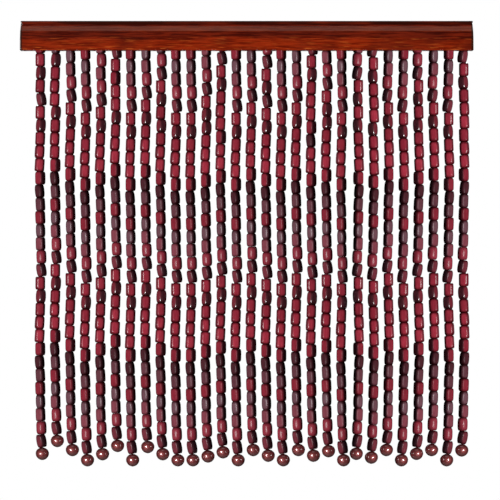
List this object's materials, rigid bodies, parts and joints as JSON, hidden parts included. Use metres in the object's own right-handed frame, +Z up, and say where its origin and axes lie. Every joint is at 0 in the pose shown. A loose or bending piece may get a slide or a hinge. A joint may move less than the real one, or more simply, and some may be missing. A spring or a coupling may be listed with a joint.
{
  "type": "wooden bead curtain with its head rail",
  "caption": "Strings of cut wooden beads, each ended by a round bead, hanging in a row from the groove of a moulded wooden head rail.",
  "frame": {"origin": "centre of the head rail's flat back face, which lies on the wall or door frame", "axes": "+X along the rail, to the right as seen from the room; +Y out of the rail's back, into the wall; +Z up"},
  "size_m": [0.6, 0.03, 0.589],
  "materials": {
    "rail_wood": "glossy red-brown lacquer over long straight grain",
    "bead_wood": "glossy wine-red stain and lacquer"
  },
  "bodies": {
    "root": {"head_rail": "rail_wood", "string_batten_1": "bead_wood", "string_batten_2": "bead_wood", "string_batten_3": "bead_wood", "string_batten_4": "bead_wood"}
  },
  "joints": []
}
